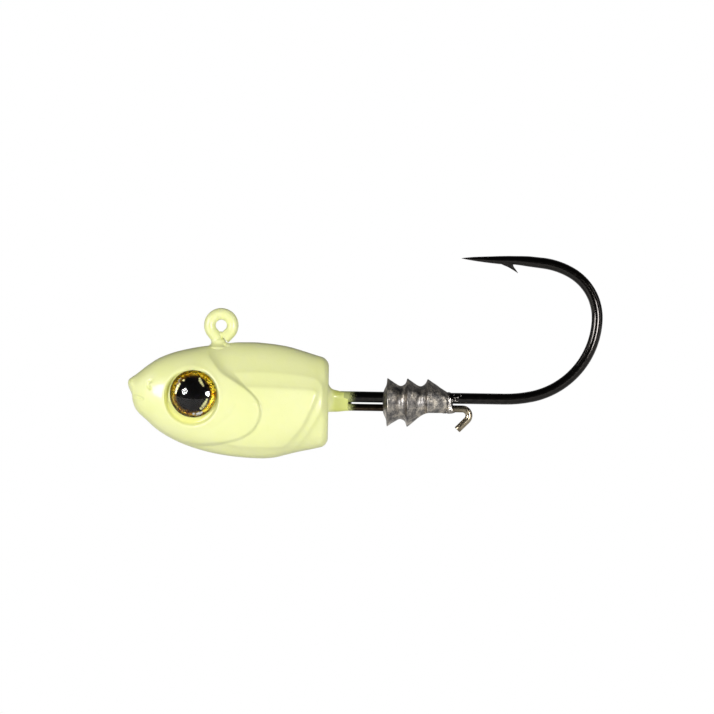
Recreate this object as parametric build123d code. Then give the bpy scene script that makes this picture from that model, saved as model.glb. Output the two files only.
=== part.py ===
from build123d import *
import math
import os

# Swimbait jig head. Millimetres. Origin: centre of the line-tie ring. +X runs back along the shank,
# -X to the nose, +Z up to the hook point side. The part is symmetric about Y = 0.

# ---- Hook: one round wire ----
WIRE_R = 0.70
RING_R = 1.45                    # ring centreline
RING_TAIL_DEG = -58.0            # where the wire's free end closes against the leg
RING_TURN_DEG = 283.0            # ring arc, from the free end over the top to the leg
LEG_TURN_DEG = 45.0              # reverse bend from ring to vertical leg
LEG_BEND_R = 1.96
ANCHOR_BEND_R = 2.5              # 90 degree bend inside the casting
SHANK_Z = -8.82
BEND_START_X = 36.1
HOOK_ARCS = [                    # (radius, turn in degrees) from shank to point
    (16.2, 12.3),
    (10.4, 76.1),
    (6.6, 62.0),
    (9.5, 27.7),
]
POINT_SECTIONS = [               # (x, z, radius) of the ground point, down to its tip
    (38.0, 8.79, 0.61),
    (36.8, 8.84, 0.54),
    (35.2, 8.81, 0.52),
    (33.4, 8.87, 0.38),
    (31.9, 8.94, 0.24),
    (30.4, 8.98, 0.03),
]
BARB_PROFILE = [                 # (x, z): front root, cutting edge, tip, notch, back root
    (35.0, 8.42),
    (36.2, 7.92),
    (37.45, 7.27),
    (36.82, 8.14),
    (36.75, 8.60),
]
BARB_WIDTH = 0.50

# ---- Keeper wire ----
KEEPER_R = 0.45
KEEPER_Z = -10.15
KEEPER_START_X = 5.0             # buried end
KEEPER_ANCHOR_DROP = 1.6
KEEPER_ANCHOR_R = 0.9
KEEPER_BEND_X = 30.79
KEEPER_BEND_R = 0.84
KEEPER_BEND_DEG = 135.0
KEEPER_STUB = 1.74

# ---- Head: lead with its coat of paint, as one solid ----
BACK_X = 13.75                   # painted back face, where a soft bait stops
NOSE_X = -11.72
BACK_EDGE_R = 0.85
BACK_EDGE_STEPS = 4
HEAD_HALF_WIDTH = 5.1
HEAD_STATIONS = [                # (x, top z, bottom z, share of the half width) at cheek level
    (NOSE_X, -7.30, -8.75, 0.11),
    (-11.25, -6.75, -9.80, 0.23),
    (-10.2, -5.90, -11.35, 0.39),
    (-8.0, -4.38, -13.35, 0.61),
    (-5.0, -3.27, -15.00, 0.81),
    (-1.5, -2.60, -16.05, 0.94),
    (3.0, -1.90, -16.95, 1.00),
    (7.0, -2.08, -16.90, 0.98),
    (11.0, -2.95, -15.97, 0.92),
    (BACK_X - BACK_EDGE_R, -3.55, -15.45, 0.88),
]
SECTION_POWER = 2.2              # 2 is an ellipse
SECTION_SPANS = 9
PANEL_DROP = 0.40                # each panel lies this much inside the one before
PANEL_SINK = 0.10                # and this much lower at back and belly
GILL_EDGE = [                    # (x, z) crest of the gill cover
    (-2.2, -1.6),
    (-1.6, -3.6),
    (0.1, -5.9),
    (3.0, -8.2),
    (4.8, -10.7),
    (4.2, -13.3),
    (1.3, -14.8),
    (-2.1, -15.4),
    (-4.0, -18.0),
]
INNER_PANEL = [                  # (x, z) corners of the fin-shaped panel behind the gill cover
    (-1.0, -7.75),
    (11.6, -8.05),
    (12.3, -8.75),
    (9.3, -14.2),
    (8.1, -15.4),
    (-1.0, -15.2),
]
OUTER_PANEL = [                  # (x, z) corners of the panel round it
    (-2.0, -6.10),
    (6.1, -5.88),
    (12.5, -6.80),
    (13.05, -8.10),
    (12.3, -11.7),
    (8.3, -18.0),
    (-2.0, -18.0),
]

# ---- Paint film on the line-tie ring, the leg and the wires behind the head ----
RING_COAT = 0.05
RING_LAND = 0.80                 # straight length of the painted line-tie hole
NECK_X = -0.30                   # paint gathered where leg and ring end meet the head
NECK_TOP_Z = -1.40
NECK_HEIGHT = 1.60
NECK_TOP_R = 0.93
NECK_FOOT_R = 1.02
SLEEVE_END_X = 16.6
SLEEVE_TOP_R = 0.77
SLEEVE_LOW_R = 0.62
SLEEVE_ROOT = 0.5                # how far it starts inside the back face
FLARE_LENGTH = 0.6
FLARE_TOP_R = 1.25
FLARE_LOW_R = 0.66
FLARE_EDGE = 0.01

# ---- Keeper collar ----
COLLAR_Z = -9.45
COLLAR_FRONT_X = 20.72
COLLAR_END_X = 28.9
RING_TIP_R = 3.03
RING_TIPS_X = [21.23, 23.78, 26.36]
VALLEY_R = 2.12
RING_SLOPE_LENGTH = 1.45
RING_ROOT_LENGTH = 0.70
RING_FACE_LEAN = 0.20
RING_FACE_R = 2.50
COLLAR_NOSE_R = 1.45
TAIL_R = 1.36
TAIL_LAND = 0.15
RAMP = [                         # (x, z) underside cut, from the second ring to the keeper wire
    (24.0, -12.6),
    (26.8, -10.72),
    (30.0, -10.72),
    (30.0, -14.0),
    (24.0, -14.0),
]

# ---- Eyes ----
EYE_X = -3.45
EYE_Z = -8.74
EYE_R = 3.0
EYE_YAW_DEG = 10.0               # each eye faces a little forward
EYE_SEAT_Y = 3.75                # seat depth at the eye's centre
SOCKET_OFFSET_X = -0.2
SOCKET_OFFSET_Z = -0.35
SOCKET_R = 3.75
SOCKET_REACH = 4.0
ADHESIVE_T = 0.15
ADHESIVE_MARGIN = 0.1
FOIL_T = 0.12
PUPIL_R = 1.95
PUPIL_T = 0.05
DOME_EDGE = 0.30
DOME_RISE = 1.05


def side_prism(face):
    """An outline in the XZ plane, extruded right through the head."""
    return extrude(Plane.XZ * face, amount=10, both=True)


def outline(points):
    return make_face(Polyline(*points, close=True))


def front_of(edge_points):
    """The outline of everything in front of a smooth edge."""
    far = NOSE_X - 4
    start, end = edge_points[0], edge_points[-1]
    closing = Polyline(end, (far, end[1]), (far, start[1]), start)
    return make_face(Spline(*edge_points) + closing)


def head_section(x, top, bottom, half_width):
    """The left half of an oval across the head: a superellipse from top to bottom."""
    middle = (top + bottom) / 2
    half_height = (top - bottom) / 2
    points = []
    for index in range(SECTION_SPANS + 1):
        angle = math.pi * index / SECTION_SPANS
        across, up = math.sin(angle), math.cos(angle)
        size = (abs(across) ** SECTION_POWER + abs(up) ** SECTION_POWER) ** (-1 / SECTION_POWER)
        points.append((x, -half_width * across * size, middle + half_height * up * size))
    side = Spline(*points, tangents=[(0, -1, 0), (0, 1, 0)])
    return make_face(side + Line(points[-1], points[0]))


def head_level(level):
    """The left half of the head at one relief level: 0 is the cheek, 3 the lowest."""
    sink = PANEL_SINK * level
    width = HEAD_HALF_WIDTH - PANEL_DROP * level
    sections = []
    for x, top, bottom, share in HEAD_STATIONS:
        sections.append(head_section(max(x, NOSE_X + sink), top - sink, bottom + sink, width * share))
    rounded = []
    for step in range(BACK_EDGE_STEPS + 1):
        angle = math.pi / 2 * step / BACK_EDGE_STEPS
        cut = BACK_EDGE_R * (1 - math.cos(angle))
        x = BACK_X - BACK_EDGE_R * (1 - math.sin(angle))
        rounded.append(head_section(x, top - sink - cut, bottom + sink + cut, width * share - cut))
    return loft(sections) + loft(rounded)


def half_head():
    """Base body with the outer panel, inner panel and gill cover raised from it, and the eye's socket."""
    shape = head_level(3)
    regions = [outline(OUTER_PANEL), outline(INNER_PANEL), front_of(GILL_EDGE)]
    for level, region in zip((2, 1, 0), regions):
        shape += head_level(level) & side_prism(region)
    socket = eye_plane(0) * Pos(SOCKET_OFFSET_X, SOCKET_OFFSET_Z) * Circle(SOCKET_R)
    return shape - extrude(socket, SOCKET_REACH)


def wire(path, radius):
    return sweep(Plane(origin=path @ 0, z_dir=path % 0) * Circle(radius), path=path)


def polar(radius, degrees):
    return (radius * math.cos(math.radians(degrees)), radius * math.sin(math.radians(degrees)))


def make_hook():
    ring = JernArc(polar(RING_R, RING_TAIL_DEG), polar(1, RING_TAIL_DEG + 90), RING_R, RING_TURN_DEG)
    neck = JernArc(ring @ 1, ring % 1, LEG_BEND_R, -LEG_TURN_DEG)
    leg_x = (neck @ 1).X
    leg = Line(neck @ 1, (leg_x, SHANK_Z + ANCHOR_BEND_R))
    anchor = JernArc(leg @ 1, leg % 1, ANCHOR_BEND_R, 90)
    shank = Line(anchor @ 1, (BEND_START_X, SHANK_Z))
    path = [ring, neck, leg, anchor, shank]
    for radius, turn in HOOK_ARCS:
        path.append(JernArc(path[-1] @ 1, path[-1] % 1, radius, turn))
    line = Plane.XZ * Wire(Curve(path).edges())
    sections = [Plane(origin=line @ 1, z_dir=line % 1) * Circle(WIRE_R)]
    for x, z, radius in POINT_SECTIONS:
        sections.append(Plane(origin=(x, 0, z), z_dir=(-1, 0, 0)) * Circle(radius))
    barb = extrude(Plane.XZ * outline(BARB_PROFILE), BARB_WIDTH / 2, both=True)
    return wire(line, WIRE_R) + loft(sections, ruled=True) + barb


def make_keeper_wire():
    anchor_z = KEEPER_Z - KEEPER_ANCHOR_R
    anchor = Line((KEEPER_START_X, anchor_z - KEEPER_ANCHOR_DROP), (KEEPER_START_X, anchor_z))
    turn = JernArc(anchor @ 1, anchor % 1, KEEPER_ANCHOR_R, -90)
    run = Line(turn @ 1, (KEEPER_BEND_X, KEEPER_Z))
    bend = JernArc(run @ 1, run % 1, KEEPER_BEND_R, -KEEPER_BEND_DEG)
    stub = Line(bend @ 1, bend @ 1 + bend % 1 * KEEPER_STUB)
    return wire(Plane.XZ * Wire([anchor, turn, run, bend, stub]), KEEPER_R)


def make_collar():
    """Three barb rings, each with a steep front and a sloping back, then a tail cone."""
    profile = [
        (COLLAR_FRONT_X, 0),
        (COLLAR_FRONT_X, COLLAR_NOSE_R),
        (RING_TIPS_X[0] - RING_FACE_LEAN, VALLEY_R),
    ]
    for tip, following in zip(RING_TIPS_X, RING_TIPS_X[1:]):
        profile.append((tip, RING_TIP_R))
        profile.append((tip + RING_SLOPE_LENGTH, VALLEY_R))
        profile.append((following - RING_ROOT_LENGTH, VALLEY_R))
        profile.append((following - RING_FACE_LEAN, RING_FACE_R))
    profile.append((RING_TIPS_X[-1], RING_TIP_R))
    profile += [(COLLAR_END_X - TAIL_LAND, TAIL_R), (COLLAR_END_X, TAIL_R), (COLLAR_END_X, 0)]
    face = outline([(x, COLLAR_Z + radius) for x, radius in profile])
    turned = revolve(Plane.XZ * face, Axis((0, 0, COLLAR_Z), (1, 0, 0)))
    return turned - side_prism(outline(RAMP))


def wire_hull(x, top_r, low_r):
    """The oblong outline round both wires at one station."""
    circles = Pos(0, SHANK_Z) * Circle(top_r) + Pos(0, KEEPER_Z) * Circle(low_r)
    return Plane(origin=(x, 0, 0), x_dir=(0, 1, 0), z_dir=(1, 0, 0)) * make_hull(circles.edges())


def make_ring_coat():
    """Paint on the line-tie ring, with a straight wall inside its hole, and on the leg below it."""
    coat_r = WIRE_R + RING_COAT
    coat = Rot(90, 0, 0) * Torus(RING_R, coat_r)
    coat += extrude(Plane.XZ * Circle(RING_R), RING_LAND / 2, both=True)
    coat += Pos(NECK_X, 0, NECK_TOP_Z - NECK_HEIGHT / 2) * Cone(NECK_FOOT_R, NECK_TOP_R, NECK_HEIGHT)
    return coat - extrude(Plane.XZ * Circle(RING_R - coat_r), coat_r * 2, both=True)


def make_sleeve():
    """Paint round both wires behind the head, its flared foot let into the back face."""
    start_x = BACK_X - SLEEVE_ROOT
    sleeve = extrude(wire_hull(start_x, SLEEVE_TOP_R, SLEEVE_LOW_R), SLEEVE_END_X - start_x)
    flare = loft([
        wire_hull(start_x, FLARE_TOP_R, FLARE_LOW_R),
        wire_hull(BACK_X, FLARE_TOP_R, FLARE_LOW_R),
        wire_hull(BACK_X + FLARE_LENGTH, SLEEVE_TOP_R + FLARE_EDGE, SLEEVE_LOW_R + FLARE_EDGE),
    ], ruled=True)
    return sleeve + flare


def eye_plane(depth):
    """The left eye's plane, depth outward from its seat."""
    yaw = math.radians(EYE_YAW_DEG)
    outward = Vector(-math.sin(yaw), -math.cos(yaw), 0)
    seat = Vector(EYE_X, -EYE_SEAT_Y, EYE_Z)
    return Plane(origin=seat + outward * depth, x_dir=outward.cross(Vector(0, 0, -1)), z_dir=outward)


def make_eye():
    """The four layers of the left eye, from its seat outward."""
    foil_depth = ADHESIVE_T
    dome_depth = ADHESIVE_T + FOIL_T
    cap_r = (EYE_R ** 2 + DOME_RISE ** 2) / (2 * DOME_RISE)
    cap = Pos(0, 0, DOME_EDGE + DOME_RISE - cap_r) * Sphere(cap_r)
    blank = extrude(Circle(EYE_R), DOME_EDGE + DOME_RISE)
    pupil = extrude(Circle(PUPIL_R), PUPIL_T)
    return {
        "eye_adhesive": eye_plane(0) * extrude(Circle(EYE_R - ADHESIVE_MARGIN), ADHESIVE_T),
        "eye_foil": eye_plane(foil_depth) * extrude(Circle(EYE_R), FOIL_T),
        "eye_pupil": eye_plane(dome_depth) * pupil,
        "eye_dome": eye_plane(dome_depth) * ((blank & cap) - pupil),
    }


def main():
    hook = make_hook()
    keeper_wire = make_keeper_wire()
    collar = make_collar()
    half = half_head()
    sleeve = make_sleeve()
    casting = half + mirror(half, about=Plane.XZ) - sleeve
    paint = make_ring_coat() + sleeve - casting
    for cast_in in (hook, keeper_wire):
        collar -= cast_in
        casting -= cast_in
        paint -= cast_in
    nodes = {
        "hook": hook,
        "keeper_wire": keeper_wire,
        "head_casting": casting,
        "paint_film": paint,
        "keeper_collar": collar,
    }
    for layer, solid in make_eye().items():
        nodes["left_" + layer] = solid
        nodes["right_" + layer] = mirror(solid, about=Plane.XZ)

    os.makedirs("parts", exist_ok=True)
    for name, solid in nodes.items():
        export_step(solid, f"parts/{name}.step")


main()
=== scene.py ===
import math

import bmesh
import bpy
import numpy as np
from mathutils import Matrix, Vector


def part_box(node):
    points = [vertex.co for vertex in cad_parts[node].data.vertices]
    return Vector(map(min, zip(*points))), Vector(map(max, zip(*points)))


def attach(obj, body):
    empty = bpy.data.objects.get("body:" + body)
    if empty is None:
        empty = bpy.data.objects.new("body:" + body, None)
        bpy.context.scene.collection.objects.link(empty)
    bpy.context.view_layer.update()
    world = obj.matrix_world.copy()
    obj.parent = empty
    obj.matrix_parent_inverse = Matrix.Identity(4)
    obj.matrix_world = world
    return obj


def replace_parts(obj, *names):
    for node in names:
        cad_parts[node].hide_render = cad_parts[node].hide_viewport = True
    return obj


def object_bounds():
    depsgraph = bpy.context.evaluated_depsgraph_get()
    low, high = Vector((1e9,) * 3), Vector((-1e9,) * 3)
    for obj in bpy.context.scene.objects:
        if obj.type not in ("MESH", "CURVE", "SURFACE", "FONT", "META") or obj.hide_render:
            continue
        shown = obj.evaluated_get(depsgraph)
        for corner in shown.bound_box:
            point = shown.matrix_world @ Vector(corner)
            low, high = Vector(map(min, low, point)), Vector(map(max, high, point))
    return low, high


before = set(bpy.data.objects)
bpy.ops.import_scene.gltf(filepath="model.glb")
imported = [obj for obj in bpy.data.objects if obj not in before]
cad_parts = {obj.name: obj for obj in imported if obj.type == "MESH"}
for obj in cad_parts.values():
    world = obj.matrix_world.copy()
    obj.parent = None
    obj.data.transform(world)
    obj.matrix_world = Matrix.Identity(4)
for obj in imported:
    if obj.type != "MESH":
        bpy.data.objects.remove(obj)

# Shapes are worked out in millimetres in the CAD frame and written to Blender in metres.
MM = 0.001
CAD_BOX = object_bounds()
SCENE = bpy.context.scene


def mm_box(node):
    low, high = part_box(node)
    return np.array(low) / MM, np.array(high) / MM


HEAD_LOW, HEAD_HIGH = mm_box("head_casting")
NOSE_X, BACK_X = HEAD_LOW[0], HEAD_HIGH[0]
HALF_WIDTH = HEAD_HIGH[1]
WIRE_R = mm_box("hook")[1][1]
KEEPER_R = mm_box("keeper_wire")[1][1]
SHANK_Z = mm_box("hook")[0][2] + WIRE_R
KEEPER_Z = -10.15
EYE_X, EYE_Z, EYE_YAW = -3.31, -8.74, math.radians(10)
EYE_SEAT_Y = 3.75
SOCKET_X, SOCKET_Z, SOCKET_R, SOCKET_TALL = -3.66, -9.20, 3.52, 1.09


# ------------------------------------------------------------------ mesh helpers

def new_mesh(name, points, faces, material):
    """A smooth-shaded mesh piece from points in millimetres, riding on the one body."""
    mesh = bpy.data.meshes.new(name)
    mesh.from_pydata((np.asarray(points, float) * MM).tolist(), [], faces)
    mesh.validate()
    face_outward(mesh)
    piece = bpy.data.objects.new(name, mesh)
    SCENE.collection.objects.link(piece)
    mesh.materials.append(material)
    mesh.shade_smooth()
    return settle(piece)


def face_outward(mesh):
    """Turns every face of the mesh to look out of its solid."""
    work = bmesh.new()
    work.from_mesh(mesh)
    bmesh.ops.recalc_face_normals(work, faces=work.faces)
    work.to_mesh(mesh)
    work.free()
    mesh.update()


def settle(piece):
    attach(piece, "root")
    return piece


def tube_grid(rows, columns, first=0):
    """Quads joining rings of points, rows by columns, with a flat cap at each end."""
    faces = []
    for row in range(rows - 1):
        for column in range(columns):
            a = first + row * columns + column
            b = first + row * columns + (column + 1) % columns
            faces.append((a, b, b + columns, a + columns))
    faces.append(tuple(first + i for i in reversed(range(columns))))
    faces.append(tuple(first + (rows - 1) * columns + i for i in range(columns)))
    return faces


def smoothstep(value):
    t = np.clip(value, 0, 1)
    return t * t * (3 - 2 * t)


def profile(points):
    """A smooth function through given (x, value) points that never overshoots them."""
    xs, ys = np.array(points, float).T
    steps = np.diff(xs)
    slopes = np.diff(ys) / steps
    ends = np.zeros(len(xs))
    product = slopes[:-1] * slopes[1:]
    weights = np.where(product > 0, product, 0)
    total = slopes[:-1] + slopes[1:]
    ends[1:-1] = np.where(product > 0, 2 * weights / np.where(total == 0, 1, total), 0)
    ends[0], ends[-1] = slopes[0], slopes[-1]

    def value(x):
        x = np.clip(x, xs[0], xs[-1])
        i = np.clip(np.searchsorted(xs, x, side="right") - 1, 0, len(xs) - 2)
        h = steps[i]
        t = (x - xs[i]) / h
        return (
            (1 + 2 * t) * (1 - t) ** 2 * ys[i]
            + t * (1 - t) ** 2 * h * ends[i]
            + t * t * (3 - 2 * t) * ys[i + 1]
            + t * t * (t - 1) * h * ends[i + 1]
        )

    return value


def rounded_line(points, per_span=24):
    """A Catmull-Rom curve through given points, sampled densely."""
    p = np.array(points, float)
    count = len(p)
    out = []
    for i in range(count - 1):
        a, b, c, d = (p[min(max(i + k - 1, 0), count - 1)] for k in range(4))
        for t in np.arange(per_span) / per_span:
            out.append(
                0.5 * (2 * b + (c - a) * t + (2 * a - 5 * b + 4 * c - d) * t ** 2
                       + (3 * b - a - 3 * c + d) * t ** 3)
            )
    out.append(p[-1])
    return np.array(out)


def distance_to_line(x, z, line):
    """Distance from each (x, z) to a line of short straight spans."""
    best = np.full(x.shape, 1e9)
    for (ax, az), (bx, bz) in zip(line[:-1], line[1:]):
        dx, dz = bx - ax, bz - az
        t = np.clip(((x - ax) * dx + (z - az) * dz) / max(dx * dx + dz * dz, 1e-12), 0, 1)
        best = np.minimum(best, np.hypot(x - ax - t * dx, z - az - t * dz))
    return best


def inside(x, z, loop):
    """True for each (x, z) inside a closed loop, by crossing count."""
    odd = np.zeros(x.shape, bool)
    for (ax, az), (bx, bz) in zip(loop, np.roll(loop, -1, axis=0)):
        if az == bz:
            continue
        crosses = ((az > z) != (bz > z)) & (x < (bx - ax) * (z - az) / (bz - az) + ax)
        odd ^= crosses
    return odd


def signed_distance(x, z, loop):
    """Positive inside the loop, negative outside."""
    distance = distance_to_line(x, z, np.vstack([loop, loop[:1]]))
    return np.where(inside(x, z, loop), distance, -distance)


# ------------------------------------------------------------------ materials

def new_material(name):
    material = bpy.data.materials.new(name)
    material.use_nodes = True
    tree = material.node_tree
    tree.nodes.clear()
    output = tree.nodes.new("ShaderNodeOutputMaterial")
    shader = tree.nodes.new("ShaderNodeBsdfPrincipled")
    tree.links.new(shader.outputs[0], output.inputs["Surface"])
    return material, tree, shader


def add(tree, kind, **values):
    """A node with its properties and its unlinked inputs set."""
    node = tree.nodes.new("ShaderNode" + kind)
    for key, value in values.items():
        if hasattr(node, key):
            setattr(node, key, value)
        else:
            node.inputs[key.replace("_", " ")].default_value = value
    return node


def object_noise(tree, scale, detail=4.0, roughness=0.55, stretch=(1, 1, 1)):
    """Noise in the part's own coordinates; scale is features per millimetre."""
    place = tree.nodes.new("ShaderNodeTexCoord")
    mapping = tree.nodes.new("ShaderNodeMapping")
    mapping.inputs["Scale"].default_value = [s * scale / MM for s in stretch]
    tree.links.new(place.outputs["Object"], mapping.inputs["Vector"])
    noise = add(tree, "TexNoise", Detail=detail, Roughness=roughness, Scale=1.0)
    tree.links.new(mapping.outputs["Vector"], noise.inputs["Vector"])
    return noise.outputs["Fac"]


def ramp(tree, source, stops):
    """Colours blended along a value from 0 to 1; a stop is (value, colour)."""
    node = tree.nodes.new("ShaderNodeValToRGB")
    elements = node.color_ramp.elements
    while len(elements) < len(stops):
        elements.new(0.5)
    for element, (position, colour) in zip(elements, stops):
        element.position = position
        element.color = (*colour, 1.0)
    tree.links.new(source, node.inputs["Fac"])
    return node.outputs["Color"]


def span(tree, source, low, high, start=0.0, stop=1.0):
    """The source's range from start to stop, mapped to low to high and held beyond it."""
    node = add(tree, "MapRange")
    node.inputs["From Min"].default_value = start
    node.inputs["From Max"].default_value = stop
    node.inputs["To Min"].default_value = low
    node.inputs["To Max"].default_value = high
    tree.links.new(source, node.inputs["Value"])
    return node.outputs["Result"]


def bump(tree, source, strength, depth_mm):
    node = add(tree, "Bump", Strength=strength, Distance=depth_mm * MM)
    tree.links.new(source, node.inputs["Height"])
    return node.outputs["Normal"]


def mix_colour(tree, factor, first, second, blend="MIX"):
    """The second colour over the first. The factor and the colours may be links or constants."""
    node = tree.nodes.new("ShaderNodeMix")
    node.data_type, node.blend_type = "RGBA", blend
    if isinstance(factor, float):
        node.inputs["Factor"].default_value = factor
    else:
        tree.links.new(factor, node.inputs["Factor"])
    for name, value in (("A", first), ("B", second)):
        socket = [s for s in node.inputs if s.name == name and s.type == "RGBA"][0]
        if isinstance(value, tuple):
            socket.default_value = (*value, 1.0)
        else:
            tree.links.new(value, socket)
    return [s for s in node.outputs if s.type == "RGBA"][0]


def object_axis(tree, axis):
    place = tree.nodes.new("ShaderNodeTexCoord")
    split = tree.nodes.new("ShaderNodeSeparateXYZ")
    tree.links.new(place.outputs["Object"], split.inputs[0])
    return split.outputs[axis]


PAINT_PALE = (0.84, 0.86, 0.43)
PAINT_DEEP = (0.82, 0.85, 0.38)


def paint_material():
    """Pale yellow-green glow enamel: milky, thick gloss with faint orange peel."""
    material, tree, shader = new_material("glow_paint")
    cloud = object_noise(tree, 0.35, detail=3.0)
    speck = object_noise(tree, 9.0, detail=2.0)
    base = ramp(tree, cloud, [(0.3, PAINT_PALE), (0.75, PAINT_DEEP)])
    tint = mix_colour(tree, span(tree, speck, 0.0, 0.10, 0.55, 0.8), base, (0.93, 0.95, 0.62))
    # Darker, deeper yellow inside each eye socket.
    in_socket = near(tree, (SOCKET_X, 3.9, SOCKET_Z), SOCKET_R - 0.05, 0.18)
    socket_toned = mix_colour(tree, in_socket, tint, (0.80, 0.80, 0.24))
    thin = span(tree, object_axis(tree, "X"), 0.0, 1.0, (BACK_X + 0.1) * MM, (BACK_X + 0.9) * MM)
    tree.links.new(mix_colour(tree, thin, socket_toned, (0.72, 0.76, 0.22)), shader.inputs["Base Color"])
    tree.links.new(span(tree, speck, 0.27, 0.36, 0.3, 0.7), shader.inputs["Roughness"])
    peel = object_noise(tree, 1.6, detail=2.0)
    tree.links.new(bump(tree, peel, 0.25, 0.05), shader.inputs["Normal"])
    shader.inputs["Specular IOR Level"].default_value = 0.5
    shader.inputs["Coat Weight"].default_value = 0.3
    shader.inputs["Coat Roughness"].default_value = 0.08
    shader.inputs["Subsurface Weight"].default_value = 0.2
    shader.inputs["Subsurface Radius"].default_value = (1.0, 1.0, 0.25)
    shader.inputs["Subsurface Scale"].default_value = 0.5 * MM
    return material


def overspray(tree, start, stop, ground, stained):
    """Paint mist on a wire: dense at the start X, a few specks near the stop X, none beyond."""
    grain = object_noise(tree, 17.0, detail=3.0, roughness=0.75)
    reach = span(tree, object_axis(tree, "X"), 0.22, -0.35, start * MM, stop * MM)
    total = add(tree, "Math", operation="ADD")
    tree.links.new(grain, total.inputs[0])
    tree.links.new(reach, total.inputs[1])
    amount = span(tree, total.outputs[0], 0.0, 1.0, 0.46, 0.60)
    return amount, mix_colour(tree, amount, ground, stained)


def black_nickel_material():
    """Black nickel plate with fine drawing lines and pits, misted with paint behind the head."""
    material, tree, shader = new_material("black_nickel")
    grain = object_noise(tree, 6.0, detail=6.0, stretch=(0.25, 1, 1))
    tone = ramp(tree, grain, [(0.35, (0.012, 0.011, 0.010)), (0.7, (0.040, 0.034, 0.030))])
    amount, colour = overspray(tree, 15.9, 18.2, tone, (0.42, 0.45, 0.17))
    tree.links.new(colour, shader.inputs["Base Color"])
    tree.links.new(span(tree, amount, 1.0, 0.0), shader.inputs["Metallic"])
    tree.links.new(span(tree, grain, 0.10, 0.22, 0.3, 0.75), shader.inputs["Roughness"])
    tree.links.new(bump(tree, grain, 0.06, 0.006), shader.inputs["Normal"])
    shader.inputs["Coat Weight"].default_value = 0.5
    shader.inputs["Coat Roughness"].default_value = 0.11
    return material


def keeper_metal_material():
    """Bronze-toned wire with drawing marks, near black along its length and bright from X 28.5 to 31.2 mm
    at the bend and stub.
    """
    material, tree, shader = new_material("keeper_nickel")
    grain = object_noise(tree, 4.0, detail=6.0, stretch=(0.3, 1, 1))
    bright = ramp(
        tree, grain, [(0.3, (0.34, 0.28, 0.19)), (0.55, (0.50, 0.43, 0.31)), (0.8, (0.66, 0.58, 0.44))]
    )
    dark = ramp(tree, grain, [(0.35, (0.02, 0.015, 0.01)), (0.75, (0.10, 0.07, 0.045))])
    # Near black along the wire, turning bright between X 28.5 and 31.2 mm at the bend and stub.
    toward_stub = span(tree, object_axis(tree, "X"), 0.0, 1.0, 28.5 * MM, 31.2 * MM)
    tone = mix_colour(tree, toward_stub, dark, bright)
    amount, colour = overspray(tree, 15.9, 18.2, tone, (0.50, 0.53, 0.20))
    tree.links.new(colour, shader.inputs["Base Color"])
    tree.links.new(span(tree, amount, 1.0, 0.0), shader.inputs["Metallic"])
    tree.links.new(span(tree, grain, 0.17, 0.27, 0.3, 0.75), shader.inputs["Roughness"])
    tree.links.new(bump(tree, grain, 0.06, 0.006), shader.inputs["Normal"])
    return material


def lead_material():
    """Bare cast lead: grey, softly bright, pitted, darker in the hollows and scuffed."""
    material, tree, shader = new_material("bare_lead")
    cloud = object_noise(tree, 1.1, detail=6.0, roughness=0.65)
    pits = object_noise(tree, 6.5, detail=5.0, roughness=0.7)
    tone = ramp(
        tree, cloud, [(0.3, (0.12, 0.115, 0.12)), (0.48, (0.34, 0.32, 0.30)), (0.66, (0.93, 0.84, 0.71))]
    )
    dark = ramp(tree, pits, [(0.36, (0.35, 0.35, 0.36)), (0.48, (1, 1, 1))])
    tree.links.new(mix_colour(tree, 1.0, tone, dark, "MULTIPLY"), shader.inputs["Base Color"])
    shader.inputs["Metallic"].default_value = 1.0
    tree.links.new(span(tree, pits, 0.42, 0.28, 0.35, 0.65), shader.inputs["Roughness"])
    tree.links.new(bump(tree, pits, 0.5, 0.05), shader.inputs["Normal"])
    return material


def near(tree, spot, reach, softness):
    """1 close to a spot on either eye, falling to 0 at its reach. Millimetres."""
    side = add(tree, "Math", operation="ABSOLUTE")
    tree.links.new(object_axis(tree, "Y"), side.inputs[0])
    folded = tree.nodes.new("ShaderNodeCombineXYZ")
    tree.links.new(object_axis(tree, "X"), folded.inputs["X"])
    tree.links.new(side.outputs[0], folded.inputs["Y"])
    tree.links.new(object_axis(tree, "Z"), folded.inputs["Z"])
    apart = add(tree, "VectorMath", operation="DISTANCE")
    tree.links.new(folded.outputs[0], apart.inputs[0])
    apart.inputs[1].default_value = [v * MM for v in spot]
    return span(tree, apart.outputs["Value"], 1.0, 0.0, (reach - softness) * MM, (reach + softness) * MM)


# Painted highlights: pale slivers painted into the base colour at fixed places on the foil and the pupil's
# edge, standing in for reflections: offset across, offset up, reach.
PAINTED_GOLD_GLINTS = [
    (-1.62, 1.12, 0.12), (-1.80, 0.88, 0.17), (-1.95, 0.62, 0.19), (-2.06, 0.34, 0.18), (-2.14, 0.06, 0.13),
    (0.72, 1.82, 0.11), (0.78, 1.58, 0.18), (0.92, 1.34, 0.17), (1.06, 1.14, 0.13), (1.16, 0.96, 0.09),
    (1.62, -0.68, 0.13), (1.50, -0.96, 0.18), (1.36, -1.22, 0.22), (1.18, -1.46, 0.21), (0.92, -1.72, 0.15),
    (-1.16, 1.56, 0.11),
]
# Painted highlights: white spots at the foil's lower edge, listed the same way.
PAINTED_WHITE_GLINTS = [(0.06, -2.42, 0.15), (0.50, -2.46, 0.20), (0.76, -2.36, 0.22), (1.00, -2.22, 0.14)]


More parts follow.
